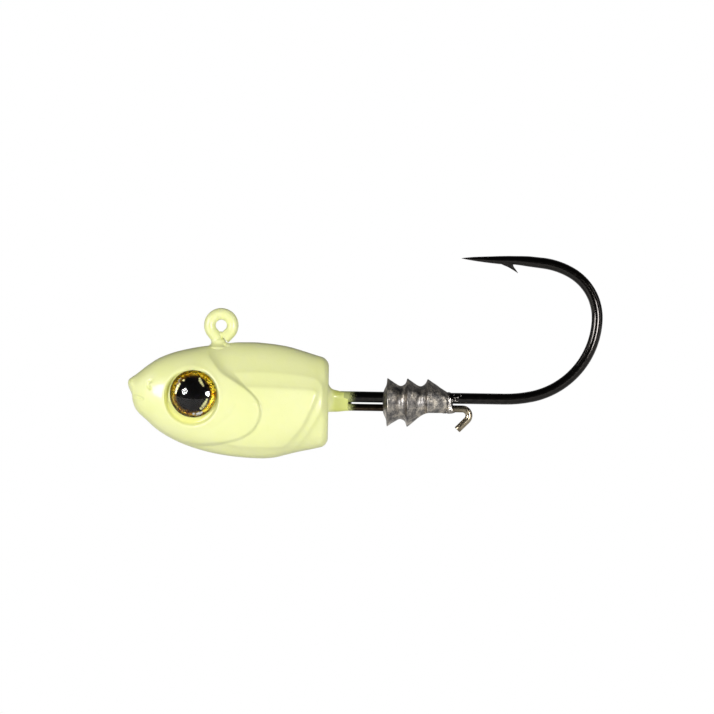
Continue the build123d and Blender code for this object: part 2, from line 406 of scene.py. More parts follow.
def painted_glints(tree, spots, ground, colour):
    """The ground colour with pale spots of painted highlight over it, and how much they cover."""
    total = None
    for east, up, reach in spots:
        seat = EYE_SEAT_Y + 0.27 + math.tan(EYE_YAW) * east
        spot = near(tree, (EYE_X + east, seat, EYE_Z + up), reach, 0.06)
        if total is None:
            total = spot
            continue
        larger = add(tree, "Math", operation="MAXIMUM")
        tree.links.new(total, larger.inputs[0])
        tree.links.new(spot, larger.inputs[1])
        total = larger.outputs[0]
    return mix_colour(tree, total, ground, colour), total


# Pale gold painted highlights over a ground colour.
def painted_gold_glints(tree, ground):
    return painted_glints(tree, PAINTED_GOLD_GLINTS, ground, (1.0, 0.96, 0.48))[0]


def foil_material():
    """Gold foil, mottled amber and olive, with painted shade toward the nose, two dark lines and pale
    painted highlights.
    """
    material, tree, shader = new_material("gold_foil")
    place = tree.nodes.new("ShaderNodeTexCoord")
    cells = add(tree, "TexVoronoi", Scale=3.2 / MM)
    tree.links.new(place.outputs["Object"], cells.inputs["Vector"])
    split = tree.nodes.new("ShaderNodeSeparateColor")
    tree.links.new(cells.outputs["Color"], split.inputs[0])
    cloud = object_noise(tree, 1.1, detail=5.0, roughness=0.65)
    blend = add(tree, "Math", operation="MULTIPLY_ADD")
    tree.links.new(split.outputs[0], blend.inputs[0])
    blend.inputs[1].default_value = 0.35
    tree.links.new(cloud, blend.inputs[2])
    tone = ramp(
        tree, blend.outputs[0],
        [(0.42, (0.42, 0.18, 0.004)), (0.54, (0.85, 0.46, 0.012)), (0.66, (1.00, 0.74, 0.03)),
         (0.80, (1.00, 0.82, 0.08)), (0.92, (0.52, 0.44, 0.02))],
    )
    spot = (EYE_X, EYE_SEAT_Y + 0.2, EYE_Z)
    # Painted shade: the foil is darkened toward the nose.
    across = span(tree, object_axis(tree, "X"), 0.0, 1.0, (EYE_X - 2.6) * MM, (EYE_X + 1.8) * MM)
    shade = ramp(tree, across, [(0.0, (0.34, 0.30, 0.22)), (0.5, (0.52, 0.40, 0.25)), (0.85, (1, 1, 1))])
    gold = mix_colour(tree, 1.0, tone, shade, "MULTIPLY")
    ringed = mix_colour(tree, near(tree, spot, 2.16, 0.06), gold, (0.03, 0.014, 0.003))
    # Painted highlights: pale gold slivers over the foil's inner line.
    inner_line_and_glints = painted_gold_glints(tree, ringed)
    outline = mix_colour(tree, near(tree, spot, 2.84, 0.07), (0.05, 0.035, 0.003), inner_line_and_glints)
    # Painted highlights: a white streak at the foil's lower edge, less metallic there.
    colour, painted_glint = painted_glints(tree, PAINTED_WHITE_GLINTS, outline, (0.98, 1.0, 1.0))
    tree.links.new(colour, shader.inputs["Base Color"])
    tree.links.new(span(tree, painted_glint, 1.0, 0.15), shader.inputs["Metallic"])
    tree.links.new(span(tree, split.outputs[1], 0.22, 0.42), shader.inputs["Roughness"])
    tree.links.new(bump(tree, split.outputs[2], 0.35, 0.02), shader.inputs["Normal"])
    return material


def pupil_material():
    """Black ink with a faint violet and brown cast, under the resin, with pale painted highlights at its
    edge.
    """
    material, tree, shader = new_material("pupil_ink")
    grain = object_noise(tree, 2.5, detail=3.0)
    tone = ramp(
        tree, grain,
        [(0.35, (0.003, 0.0015, 0.001)), (0.6, (0.002, 0.002, 0.003)), (0.78, (0.010, 0.004, 0.016))],
    )
    # Painted highlights: pale gold slivers at the pupil's edge.
    tree.links.new(painted_gold_glints(tree, tone), shader.inputs["Base Color"])
    tree.links.new(span(tree, grain, 0.40, 0.55, 0.3, 0.7), shader.inputs["Roughness"])
    shader.inputs["Specular IOR Level"].default_value = 0.02
    return material


def resin_material():
    """Clear domed resin with a trace of amber."""
    material, tree, shader = new_material("clear_resin")
    ripple = object_noise(tree, 0.8, detail=1.0)
    tone = ramp(tree, ripple, [(0.3, (1.0, 0.99, 0.95)), (0.8, (1.0, 0.97, 0.90))])
    tree.links.new(tone, shader.inputs["Base Color"])
    shader.inputs["Transmission Weight"].default_value = 1.0
    shader.inputs["IOR"].default_value = 1.50
    tree.links.new(span(tree, ripple, 0.045, 0.06, 0.3, 0.7), shader.inputs["Roughness"])
    return material


def glue_material():
    material, tree, shader = new_material("eye_glue")
    grain = object_noise(tree, 3.0, detail=3.0)
    tone = ramp(tree, grain, [(0.3, (0.70, 0.70, 0.62)), (0.7, (0.82, 0.82, 0.74))])
    tree.links.new(tone, shader.inputs["Base Color"])
    tree.links.new(span(tree, grain, 0.45, 0.65, 0.3, 0.7), shader.inputs["Roughness"])
    return material


PAINT = paint_material()
BLACK_NICKEL = black_nickel_material()
KEEPER_METAL = keeper_metal_material()
LEAD = lead_material()
FOIL = foil_material()
PUPIL = pupil_material()
RESIN = resin_material()
GLUE = glue_material()


# ------------------------------------------------------------------ head

HEAD_TOP = profile([
    (-11.73, -7.45), (-11.66, -7.12), (-11.40, -6.86), (-10.76, -6.42), (-9.23, -5.20),
    (-7.72, -4.23), (-5.45, -3.38), (-2.41, -2.72), (0.13, -2.40), (2.16, -2.13),
    (4.19, -2.10), (6.23, -2.24), (8.26, -2.52), (10.56, -3.13), (12.09, -3.60), (13.75, -4.05),
])
HEAD_BOTTOM = profile([
    (-11.73, -7.60), (-11.66, -7.95), (-11.47, -8.40), (-11.27, -8.80), (-11.19, -9.05),
    (-11.17, -9.40), (-11.08, -9.85), (-10.92, -10.35), (-10.60, -10.95), (-9.35, -12.15),
    (-7.80, -13.48), (-5.27, -14.87), (-2.97, -15.70), (-0.67, -16.27), (1.62, -16.62),
    (3.91, -16.80), (5.43, -16.83), (6.96, -16.70), (8.47, -16.32), (9.99, -15.93),
    (11.51, -15.60), (13.75, -15.10),
])
HEAD_WIDTH = profile([
    (-11.73, 0.06), (-11.64, 0.13), (-11.20, 0.235), (-10.20, 0.39), (-8.00, 0.61),
    (-5.00, 0.81), (-1.50, 0.94), (3.00, 1.00), (7.00, 0.98), (11.00, 0.93), (13.75, 0.89),
])
SECTION_POWER = 2.15
BACK_EDGE_R = 0.95
GILL_EDGE = rounded_line([
    (-2.4, -1.2), (-1.61, -3.63), (-0.94, -4.72), (0.10, -5.98), (1.90, -7.15), (3.55, -8.25),
    (4.70, -9.40), (5.10, -10.55), (5.00, -11.80), (4.30, -13.15), (3.00, -14.15), (1.30, -14.74),
    (-0.80, -15.02), (-2.60, -15.10), (-4.60, -14.95), (-7.0, -15.6),
])
GILL_REGION = np.vstack([GILL_EDGE, [(-16, -18), (-16, 0)]])
OUTER_REGION = np.vstack([
    rounded_line([
        (-3.0, -6.35), (0.39, -6.13), (3.2, -5.92), (6.09, -5.89), (9.17, -6.12), (11.40, -6.42),
        (12.50, -6.95), (13.02, -8.05), (12.92, -10.08), (12.34, -11.63), (11.44, -13.03),
        (10.54, -14.43), (9.33, -15.84), (7.6, -17.2),
    ]),
    [(6.0, -20), (-3, -20)],
])
INNER_REGION = np.vstack([
    rounded_line([
        (-3.0, -7.70), (0.5, -7.72), (3.35, -7.78), (6.12, -7.82), (9.20, -7.91), (11.35, -8.02),
        (12.05, -8.22), (12.18, -8.80), (11.41, -10.72), (10.51, -12.60), (9.31, -14.15),
        (8.45, -15.10), (7.55, -15.43), (4.72, -15.46), (2.40, -15.35), (0.85, -15.05), (-3.0, -14.6),
    ]),
])
OUTER_RISE, INNER_RISE, GILL_RISE = 0.45, 0.48, 0.44
NOSTRIL = rounded_line([(-8.78, -7.20), (-9.06, -7.45), (-9.12, -7.85), (-8.92, -8.18)])
MOUTH = rounded_line([(-11.30, -9.02), (-10.95, -9.12), (-10.40, -9.20), (-9.85, -9.45)])
CHEEK_CREASE = rounded_line([(2.2, -10.1), (1.55, -11.1), (0.6, -12.1), (-0.9, -13.1), (-2.6, -13.6)])


def ledge(distance, fall):
    """1 inside a region, with a crisp lip, easing to 0 outside it over the fall."""
    outside = 0.07 * np.logaddexp(0, -distance / 0.07)
    return np.exp(-outside / fall)


def head_depth(x, z, half_y, share):
    """Half thickness of the head at (x, z): the oval section carved down to its relief."""
    side = np.clip(share, 0, 1) ** 0.9
    gill_distance = signed_distance(x, z, GILL_REGION)
    gill = ledge(gill_distance, 0.32 + 0.55 * smoothstep((z + 9.5) / 4.5))
    edge_fall = 0.40 + 0.56 * smoothstep((z + 9.0) / 1.8) * smoothstep((13.2 - x) / 1.4)
    outer = ledge(signed_distance(x, z, OUTER_REGION), edge_fall)
    inner = ledge(signed_distance(x, z, INNER_REGION), 0.75 * edge_fall)
    total = OUTER_RISE + INNER_RISE + GILL_RISE
    height = np.maximum(gill * total, outer * OUTER_RISE + inner * INNER_RISE * outer)
    depth = half_y - (total - height) * side

    seat = EYE_SEAT_Y + math.tan(EYE_YAW) * (x - EYE_X)
    east, north = x - SOCKET_X, (z - SOCKET_Z) / SOCKET_TALL
    reach = np.hypot(east, north)
    toward_nose = smoothstep(0.5 - (0.8 * east + 0.6 * north) / SOCKET_R)
    rim = np.exp(-((reach - SOCKET_R - 0.20) / 0.22) ** 2)
    depth = depth + 0.07 * rim * side * (1 - toward_nose)
    moat = np.exp(-((reach - SOCKET_R + 0.62) / 0.34) ** 2) * toward_nose
    floor = seat + 0.10 - 0.20 * toward_nose - 0.16 * moat
    sunk = smoothstep((SOCKET_R + 0.10 - reach) / (0.40 + 0.20 * toward_nose))
    depth = depth + (np.minimum(floor, depth) - depth) * sunk

    nostril = distance_to_line(x, z, NOSTRIL)
    mouth = distance_to_line(x, z, MOUTH)
    crease = distance_to_line(x, z, CHEEK_CREASE)
    tip = np.hypot(x - 4.72, z + 10.0)
    depth = depth - 0.24 * np.exp(-(nostril / 0.16) ** 2) * side
    depth = depth - 0.15 * np.exp(-(mouth / 0.14) ** 2) * side
    depth = depth + 0.14 * np.exp(-(tip / 0.26) ** 2) * side
    return depth - 0.08 * np.exp(-(crease / 0.42) ** 2) * side


def head_stations(count):
    """x along the head, closer together where the nose and mouth turn."""
    even = np.linspace(0, 1, count)
    front = NOSE_X + (BACK_X - BACK_EDGE_R - NOSE_X) * (even * 0.86 + 0.14 * even ** 3)
    ease = smoothstep(even / 0.12)
    nose = NOSE_X + (front - NOSE_X) * (0.12 + 0.88 * ease)
    return nose + 0.002


def make_head():
    columns = 336
    half = columns // 2
    body = head_stations(236)
    edge = np.sin(np.linspace(0, math.pi / 2, 16)[1:])
    stations = [(x, 0.0) for x in body]
    stations += [
        (BACK_X - BACK_EDGE_R + BACK_EDGE_R * s, BACK_EDGE_R * (1 - math.sqrt(max(1 - s * s, 0))))
        for s in edge
    ]
    xs = np.array([s[0] for s in stations])
    cuts = np.array([s[1] for s in stations])
    angles = np.arange(columns) / columns * 2 * math.pi
    across, up = np.sin(angles), np.cos(angles)
    size = (np.abs(across) ** SECTION_POWER + np.abs(up) ** SECTION_POWER) ** (-1 / SECTION_POWER)
    top, bottom = HEAD_TOP(xs) - cuts, HEAD_BOTTOM(xs) + cuts
    middle, half_height = (top + bottom) / 2, (top - bottom) / 2
    half_width = HEAD_WIDTH(xs) * HALF_WIDTH
    grid_x = np.repeat(xs[:, None], columns, axis=1)
    grid_z = middle[:, None] + half_height[:, None] * (up * size)[None, :]
    share = np.abs(across * size)[None, :] * np.ones((len(xs), 1))
    oval = (half_width[:, None]) * share
    left = slice(0, half + 1)
    depth = np.empty_like(oval)
    depth[:, left] = head_depth(grid_x[:, left], grid_z[:, left], oval[:, left], share[:, left])
    depth[:, half + 1:] = depth[:, 1:half][:, ::-1]
    depth = depth - cuts[:, None] * share
    depth = np.maximum(depth, 0.02 * share)
    grid_y = -np.sign(across)[None, :] * depth
    points = np.stack([grid_x, grid_y, grid_z], axis=-1)
    rings = [points]
    last = points[-1]
    centre = np.array([BACK_X, 0, (top[-1] + bottom[-1]) / 2])
    for shrink in (0.97, 0.85, 0.65, 0.4, 0.15):
        rings.append((centre + (last - centre) * shrink)[None])
    grid = np.concatenate(rings)
    rows = len(grid)
    faces = tube_grid(rows, columns)
    return new_mesh("head_body", grid.reshape(-1, 3), faces, PAINT)


# ------------------------------------------------------------------ wires

def arc_path(start, degrees, pieces):
    """Points along tangent lines and arcs in the XZ plane: ("line", length) or (radius, turn)."""
    x, z = start
    heading = math.radians(degrees)
    points = [(x, z)]
    for first, second in pieces:
        if first == "line":
            steps = max(int(second / 0.6), 1)
            for _ in range(steps):
                x += second / steps * math.cos(heading)
                z += second / steps * math.sin(heading)
                points.append((x, z))
            continue
        turn = math.radians(second)
        steps = max(int(abs(second) / 2.5), 3)
        for _ in range(steps):
            chord = 2 * first * math.sin(abs(turn) / steps / 2)
            heading += turn / steps / 2
            x += chord * math.cos(heading)
            z += chord * math.sin(heading)
            heading += turn / steps / 2
            points.append((x, z))
    return np.array(points)


def tube(path, radii, sides=36):
    """Rings of points round a path in the XZ plane."""
    path = np.asarray(path, float)
    ahead = np.gradient(path, axis=0)
    ahead /= np.linalg.norm(ahead, axis=1)[:, None]
    rings = []
    for (x, z), (dx, dz), radius in zip(path, ahead, radii):
        angle = np.arange(sides) / sides * 2 * math.pi
        out, across = radius * np.cos(angle), radius * np.sin(angle)
        rings.append(np.stack([x - dz * out, across, z + dx * out], axis=-1))
    return np.concatenate(rings), tube_grid(len(path), sides)


RING_R = 1.45
RING_TAIL = 0.9
RING_END = 45.0
HOOK_PIECES = [
    ("line", RING_TAIL), (RING_R, 315.0 - RING_END), (1.96, -45.0), ("line", 3.9), (2.5, 90.0),
    ("line", 34.0), (16.2, 12.3), (10.4, 76.1), (6.6, 62.0), (9.5, 27.7),
]
POINT_TAPER = [
    (38.9, 8.72, 0.665), (38.0, 8.79, 0.605), (37.2, 8.83, 0.555), (36.4, 8.85, 0.535),
    (35.2, 8.83, 0.515), (34.3, 8.85, 0.450), (33.4, 8.88, 0.380), (32.6, 8.91, 0.310),
    (31.9, 8.94, 0.245), (31.2, 8.96, 0.150), (30.7, 8.98, 0.075), (30.4, 8.985, 0.022),
]


def ring_start():
    """The free end of the wire, a short straight closing the ring against its own leg."""
    turn = math.radians(RING_END)
    x, z = RING_R * math.sin(turn), -RING_R * math.cos(turn)
    return x - RING_TAIL * math.cos(turn), z - RING_TAIL * math.sin(turn)


def make_hook():
    rear_x = mm_box("hook")[1][0]
    # The shank's length closes the path on the CAD hook's own rear reach.
    path = arc_path(ring_start(), RING_END, HOOK_PIECES)
    shift = (rear_x - WIRE_R) - path[:, 0].max()
    straight = np.argmax(path[:, 0] > 20)
    path[straight:, 0] += shift
    drop = SHANK_Z - path[straight, 1]
    leg = np.argmax(path[:, 1] < -5.0)
    path[leg:, 1] += drop
    taper = np.array(POINT_TAPER)
    points = np.vstack([path[:-2], taper[:, :2]])
    radii = np.concatenate([np.full(len(path) - 2, WIRE_R), taper[:, 2]])
    vertices, faces = tube(points, radii)
    barb_points, barb_faces = make_barb(len(vertices))
    return new_mesh(
        "hook_wire", np.vstack([vertices, barb_points]), faces + barb_faces, BLACK_NICKEL
    )


def make_barb(first):
    """The blade sliced up from the wire: a curved wedge, wide at its root and sharp at its tip."""
    upper = rounded_line([(37.05, 8.60), (36.95, 8.26), (37.07, 7.96), (37.34, 7.60), (37.59, 7.22)], 5)
    lower = rounded_line([(35.10, 8.50), (35.65, 8.22), (36.32, 7.95), (36.97, 7.58), (37.59, 7.19)], 5)
    half_widths = 0.42 * (1 - np.linspace(0, 1, len(upper)) ** 1.6) + 0.015
    ring = []
    for (ux, uz), (lx, lz), half in zip(upper, lower, half_widths):
        ring += [(ux, half * 0.8, uz), (lx, half, lz), (lx, -half, lz), (ux, -half * 0.8, uz)]
    return np.array(ring), tube_grid(len(upper), 4, first=first)


def make_keeper_wire():
    start = (5.0, KEEPER_Z - 2.5)
    path = arc_path(
        start, 90.0, [("line", 1.6), (0.9, -90.0), ("line", 24.89), (0.84, -135.0), ("line", 1.74)]
    )
    radii = np.full(len(path), KEEPER_R)
    end = path[-1]
    ahead = (path[-1] - path[-2]) / np.linalg.norm(path[-1] - path[-2])
    rounded = [(0.03, 0.97), (0.05, 0.88), (0.06, 0.7)]
    path = np.vstack([path[:-1], end - ahead * 0.06, *[end + ahead * (d - 0.06) for d, _ in rounded]])
    radii = np.concatenate([radii, [KEEPER_R * r for _, r in rounded]])
    points, faces = tube(path, radii)
    return new_mesh("keeper_wire_bent", points, faces, KEEPER_METAL)


# ------------------------------------------------------------------ collar

COLLAR_Z = -9.45
COLLAR_PROFILE = [
    (20.66, 0.30), (20.68, 1.00), (20.78, 1.48), (20.97, 1.90), (21.12, 2.28), (21.16, 2.70),
    (21.19, 2.98), (21.25, 3.05), (21.36, 2.99), (21.75, 2.72), (22.35, 2.34), (22.68, 2.16),
    (22.95, 2.12), (23.25, 2.22), (23.50, 2.42), (23.62, 2.66), (23.70, 2.95), (23.79, 3.06),
    (23.92, 2.98), (24.40, 2.66), (24.95, 2.31), (25.28, 2.16), (25.52, 2.14), (25.80, 2.27),
    (26.06, 2.50), (26.20, 2.74), (26.28, 2.94), (26.37, 3.01), (26.50, 2.93), (27.10, 2.54),
    (27.80, 2.08), (28.35, 1.72), (28.70, 1.50), (28.88, 1.30), (28.95, 1.0), (28.96, 0.75),
]
RAMP_LINE = profile([(20.0, -14.0), (23.95, -12.60), (24.05, -12.42), (26.60, -10.72), (30.0, -10.70)])


def noise_at(points, scale, seed):
    """Smooth repeatable noise from a few sine waves, between -1 and 1."""
    wander = np.random.default_rng(seed)
    total = np.zeros(len(points))
    for _ in range(14):
        direction = wander.normal(size=3)
        total += np.sin(points @ (direction * scale) + wander.uniform(0, 6.28))
    return total / 14 ** 0.5 / 1.6


def make_collar():
    line = rounded_line(COLLAR_PROFILE, per_span=5)
    sides = 160
    angle = np.arange(sides) / sides * 2 * math.pi
    rings = []
    for x, radius in line:
        across, up = radius * np.sin(angle), COLLAR_Z + radius * np.cos(angle)
        rings.append(np.stack([np.full(sides, x), across, up], -1))
    points = np.concatenate(rings)
    lumps = noise_at(points, 1.3, 3) * 0.035 + noise_at(points, 4.5, 5) * 0.016
    outward = points - np.array([0, 0, COLLAR_Z])
    outward[:, 0] = 0
    length = np.linalg.norm(outward, axis=1)[:, None] + 1e-9
    points = points + outward / length * np.minimum(lumps, 0.02)[:, None]
    # Whatever hangs below the slope is drawn up to it, with a softened edge.
    floor, soft = RAMP_LINE(points[:, 0]), 0.06
    over = points[:, 2] - floor
    points[:, 2] = floor + np.where(over < soft, soft * np.exp(np.clip(over / soft - 1, -30, 0)), over)
    faces = tube_grid(len(line), sides)
    return new_mesh("collar_body", points, faces, LEAD)


def make_collar_tail():
    """The torn skin of lead along both wires behind the cone, and spatter on the shank."""
    stations = np.linspace(28.3, 29.25, 20)
    rings = []
    for x in stations:
        thin = 0.10 * smoothstep((x - 28.9) / 0.4)
        rings.append(oblong(x, WIRE_R + 0.075 - thin * 0.6, KEEPER_R + 0.16 - thin, 96))
    points = np.concatenate(rings)
    share = smoothstep((points[:, 0] - 28.7) / 0.5)
    lean = 0.25 * (SHANK_Z - points[:, 2])
    points[:, 0] += share * (noise_at(points * [0, 1, 1], 6.0, 21) * 0.30 + lean)
    middle = np.array([0, 0, (SHANK_Z + KEEPER_Z) / 2])
    outward = (points - middle) * [0, 1, 1]
    outward /= np.linalg.norm(outward, axis=1)[:, None]
    points += outward * (noise_at(points, 7.0, 22) * 0.045)[:, None]
    faces = tube_grid(len(stations), 96)
    parts, all_faces = [points], list(faces)
    wander = np.random.default_rng(8)
    for _ in range(11):
        x, around = 29.3 + 1.7 * wander.random() ** 1.3, math.radians(wander.uniform(-50, 40))
        size = 0.05 + 0.07 * wander.random()
        centre = (x, -WIRE_R * math.cos(around), SHANK_Z + WIRE_R * math.sin(around))
        blob, blob_faces = lump(centre, (size * 1.3, size * 0.5, size), 10)
        first = sum(len(v) for v in parts)
        parts.append(blob)
        all_faces += [tuple(i + first for i in face) for face in blob_faces]
    return new_mesh("collar_tail", np.vstack(parts), all_faces, LEAD)


# ------------------------------------------------------------------ paint on the wires

def oblong(x, top_r, low_r, count=72):
    """Points of the outline round both wires at one station."""
    angles = np.arange(count) / count * 2 * math.pi
    reach_y, reach_z = np.sin(angles), np.cos(angles)
    top = reach_z * SHANK_Z + top_r
    low = reach_z * KEEPER_Z + low_r
    support = np.maximum(top, low)
    wrapped = np.concatenate([support[-2:], support, support[:2]])
    slope = np.gradient(wrapped)[2:-2] / (angles[1] - angles[0])
    y = support * reach_y + slope * reach_z
    z = support * reach_z - slope * reach_y
    return np.stack([np.full(count, x), y, z], -1)


def make_sleeve():
    """Paint round both wires: a fillet at the head, thin on top, with a ragged sprayed end."""
    foot, rest = np.linspace(BACK_X - 0.4, BACK_X + 1.0, 22), np.linspace(BACK_X + 1.05, 16.3, 30)
    stations = np.concatenate([foot, rest])
    rings = []
    for x in stations:
        beyond = x - BACK_X
        flare = 0.84 * math.exp(-max(beyond, 0) / 0.34)
        thin = 0.07 * smoothstep((x - 14.6) / 1.7)
        ring = oblong(x, WIRE_R + 0.055 + flare - thin, KEEPER_R + 0.16 + 0.06 * flare - thin * 2.0)
        ceiling = SHANK_Z + WIRE_R + flare + 0.06 - 0.22 * smoothstep((x - 14.7) / 1.2)
        ring[:, 2] = np.minimum(ring[:, 2], ceiling)
        rings.append(ring)
    points = np.concatenate(rings)
    ripple = noise_at(points, 2.2, 11) * 0.018
    centre_z = (SHANK_Z + KEEPER_Z) / 2
    outward = points - np.array([0, 0, centre_z])
    outward[:, 0] = 0
    outward /= np.linalg.norm(outward, axis=1)[:, None]
    points += outward * ripple[:, None]
    share = smoothstep((points[:, 0] - 15.2) / 1.1)
    points[:, 0] += share * noise_at(points * [0, 1, 1], 4.6, 4) * 0.34
    return new_mesh("sleeve_paint", points, tube_grid(len(stations), 72), PAINT)


def remeshed(name, parts, voxel, smoothing, material):
    """Several overlapping shapes melted into one skin. Voxel size in millimetres."""
    vertices, faces = [], []
    for points, part_faces in parts:
        first = sum(len(v) for v in vertices)
        vertices.append(points)
        faces += [tuple(i + first for i in face) for face in part_faces]
    mesh = bpy.data.meshes.new(name)
    mesh.from_pydata(np.vstack(vertices).tolist(), [], faces)
    piece = bpy.data.objects.new(name, mesh)
    SCENE.collection.objects.link(piece)
    remesh = piece.modifiers.new("melt", "REMESH")
    remesh.mode = "VOXEL"
    remesh.voxel_size = voxel
    relax = piece.modifiers.new("relax", "SMOOTH")
    relax.factor, relax.iterations = 0.5, smoothing
    bpy.context.view_layer.update()
    done = bpy.data.meshes.new_from_object(piece.evaluated_get(bpy.context.evaluated_depsgraph_get()))
    bpy.data.objects.remove(piece)
    done.transform(Matrix.Scale(MM, 4))
    face_outward(done)
    done.name = name
    done.materials.clear()
    done.materials.append(material)
    done.shade_smooth()
    result = bpy.data.objects.new(name, done)
    SCENE.collection.objects.link(result)
    return settle(result)


def cone_parts(centre, profile_points, sides=48):
    """A turned shape about a vertical axis at an X; profile points are (radius, z)."""
    angle = np.arange(sides) / sides * 2 * math.pi
    rings = []
    for radius, z in profile_points:
        x = centre + radius * np.cos(angle)
        rings.append(np.stack([x, radius * np.sin(angle), np.full(sides, z)], -1))
    return np.concatenate(rings), tube_grid(len(profile_points), sides)


def lump(centre, radii, sides=24):
    """A rounded blob of paint."""
    rows = np.linspace(0.05, math.pi - 0.05, 14)
    angle = np.arange(sides) / sides * 2 * math.pi
    rings = []
    for row in rows:
        out, height = np.sin(row), np.full(sides, np.cos(row))
        ring = np.stack([out * np.cos(angle), out * np.sin(angle), height], -1)
        rings.append(np.array(centre) + ring * np.array(radii))
    return np.concatenate(rings), [tuple(reversed(f)) for f in tube_grid(len(rows), sides)]


NECK_PROFILE = [
    (1.80, -3.4), (1.62, -2.78), (1.22, -2.56), (1.02, -2.40), (0.92, -2.2), (0.86, -1.9), (0.6, -1.65),
]


def make_ring_paint():
    """Paint on the ring, webbed where its wire closes, and thicker where its leg stands on the head."""
    coat = WIRE_R + 0.045
    loop = arc_path(ring_start(), RING_END, HOOK_PIECES[:2])
    web = [lump((-0.06, 0, -1.14), (0.46, 0.50, 0.36)), lump((0.12, 0, -1.42), (0.40, 0.46, 0.30))]
    coated = tube(loop, np.full(len(loop), coat))
    ring = remeshed("line_tie_paint", [coated] + web, 0.05, 4, PAINT)
    leg_path = arc_path((-1.15, -0.90), -45.0, [("line", 0.18), (1.96, -45.0), ("line", 0.9)])
    leg = tube(leg_path, np.full(len(leg_path), coat + 0.01))
    neck = cone_parts(-0.28, NECK_PROFILE)
    drops = [
        lump((0.60, -0.50, -2.48), (0.50, 0.46, 0.34)), lump((1.00, -0.85, -2.70), (0.55, 0.50, 0.34)),
        lump((0.35, 0.80, -2.55), (0.50, 0.42, 0.34)),
    ]
    foot = remeshed("line_tie_foot", [leg, neck] + drops, 0.05, 9, PAINT)
    return ring, foot


# ------------------------------------------------------------------ eyes

def turned(profile_points, sides=96):
    """A shape turned about its own Z axis from (radius, height) points."""
    angle = np.arange(sides) / sides * 2 * math.pi
    rings = []
    for radius, height in profile_points:
        ring = [radius * np.cos(angle), radius * np.sin(angle), np.full(sides, height)]
        rings.append(np.stack(ring, -1))
    return np.concatenate(rings), tube_grid(len(profile_points), sides)


def place_eye(points, side):
    """From the eye's own frame, depth along Z, to the left (-1) or right (1) of the head."""
    outward = np.array([-math.sin(EYE_YAW), side * math.cos(EYE_YAW), 0])
    up = np.array([0, 0, 1.0])
    across = np.cross(up, outward)
    seat = np.array([EYE_X, side * EYE_SEAT_Y, EYE_Z])
    return seat + points[:, :1] * across + points[:, 1:2] * up + points[:, 2:] * outward


ADHESIVE_T, FOIL_T = 0.15, 0.12
EYE_R, PUPIL_R, DOME_EDGE, DOME_RISE = 3.0, 1.95, 0.30, 1.05
# Turned shapes start this close to their axis instead of on it.
AXIS_R = 0.01
GLUE_PROFILE = [(AXIS_R, 0.0), (2.86, 0.0), (2.9, 0.03), (2.9, 0.12), (2.86, 0.148), (AXIS_R, 0.148)]
PUPIL_PROFILE = [
    (AXIS_R, 0.262), (PUPIL_R - 0.01, 0.262), (PUPIL_R, 0.275), (PUPIL_R - 0.02, 0.292), (AXIS_R, 0.300),
]


def dome_profile():
    """The resin's outline: a short upright edge under a spherical cap."""
    base, foil_top = ADHESIVE_T + 0.5 * FOIL_T, ADHESIVE_T + FOIL_T
    cap_r = (EYE_R ** 2 + DOME_RISE ** 2) / (2 * DOME_RISE)
    centre = foil_top + DOME_EDGE + DOME_RISE - cap_r
    points = [
        (AXIS_R, base), (PUPIL_R, base), (EYE_R - 0.04, base), (EYE_R, base + 0.04),
        (EYE_R, foil_top + DOME_EDGE * 0.8),
    ]
    start = math.asin((EYE_R - 0.02) / cap_r)
    for angle in np.linspace(start, 0.002, 40):
        points.append((cap_r * math.sin(angle), centre + cap_r * math.cos(angle)))
    return points


def foil_profile():
    """The foil disc's printed face, embossed with shallow rings round the pupil."""
    low = ADHESIVE_T + 0.005
    high = ADHESIVE_T + FOIL_T - 0.012
    points = [(AXIS_R, low), (EYE_R - 0.06, low), (EYE_R - 0.03, low + 0.04)]
    for radius in np.linspace(EYE_R - 0.03, AXIS_R, 90):
        wave = 0.020 * math.sin(radius * 14.0) if radius > PUPIL_R - 0.1 else 0
        points.append((radius, high - 0.02 + wave))
    return points


def make_eye(side, word):
    layers = [
        ("eye_glue_", GLUE_PROFILE, GLUE, "eye_glue", "_eye_adhesive"),
        ("eye_foil_", foil_profile(), FOIL, "gold_foil", "_eye_foil"),
        ("eye_pupil_", PUPIL_PROFILE, PUPIL, "pupil_ink", "_eye_pupil"),
        ("eye_dome_", dome_profile(), RESIN, "clear_resin", "_eye_dome"),
    ]
    for piece, outline, material, slot, node in layers:
        points, faces = turned(outline)
        points = place_eye(points, side)
        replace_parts(new_mesh(piece + word, points, faces, material), word + node)


# ------------------------------------------------------------------ camera, light and floor

PHOTO_CENTRE = Vector((17.30, 0, -3.76)) * MM
VIEW_WIDTH = 90.7 * MM
CAMERA_DISTANCE = 1.40
ROLL = math.radians(0.9)
LAMP_REACH = 0.6
# Name, azimuth, height and half angle in degrees, radiance.
LAMPS = [("lamp_left", -42.0, 6.0, 9.5, 20.5), ("lamp_right", 28.0, 0.5, 8.0, 28.0)]
# Name, azimuth and height in degrees, length in metres.
STRIPS = [("strip_left", -72.0, 20.0, 0.44), ("strip_right", 72.0, 8.0, 0.60)]
STRIP_RADIANCE, STRIP_WIDTH = 3.5, 0.055
# The room's tone against height, from straight down at 0 to straight up at 1.
ROOM_TONES = [
    (0.0, (0.60, 0.60, 0.60)), (0.25, (0.30, 0.30, 0.30)),
    (0.45, (0.06, 0.06, 0.06)), (1.0, (0.03, 0.03, 0.03)),
]
BACKDROP_TONE = (0.16, 0.16, 0.16)
FLOOR_DROP = 62
FLOOR_X, FLOOR_Y, FLOOR_ROWS = (-900, 900), (-240, 770), 40


